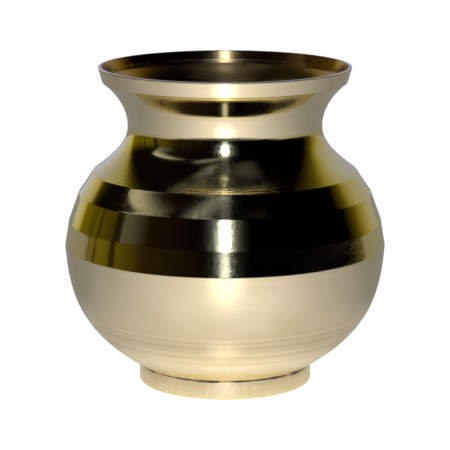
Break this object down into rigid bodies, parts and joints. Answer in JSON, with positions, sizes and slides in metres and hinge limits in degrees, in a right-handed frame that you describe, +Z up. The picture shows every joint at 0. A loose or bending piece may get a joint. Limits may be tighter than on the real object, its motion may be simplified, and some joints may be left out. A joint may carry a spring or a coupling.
{
  "type": "brass kalash pot",
  "caption": "Round-bellied brass water pot with a flared mouth, faceted polished shoulder, satin bowl and foot ring, standing free.",
  "frame": {"origin": "centre of the foot ring's bottom face, on the pot's axis", "axes": "+Z up along the pot's axis, towards the mouth; -Y is the front; +X is to the right seen from the front"},
  "size_m": [0.112, 0.112, 0.1114],
  "materials": {
    "mirror_brass": "mirror polished on the lathe, fine turning lines",
    "satin_brass": "satin turned, concentric lathe lines",
    "foot_brass": "satin, slightly tarnished by the seam",
    "braze": "dull brazed seam with dark flux stain"
  },
  "bodies": {
    "root": {"foot_ring": "foot_brass", "foot_strip_braze": "braze", "foot_braze": "braze", "lower_bowl": "satin_brass", "belly_braze": "braze", "shoulder_shell": "mirror_brass", "neck_braze": "braze", "neck_collar": "satin_brass", "rim_braze": "braze", "rim_band": "satin_brass"}
  },
  "joints": []
}
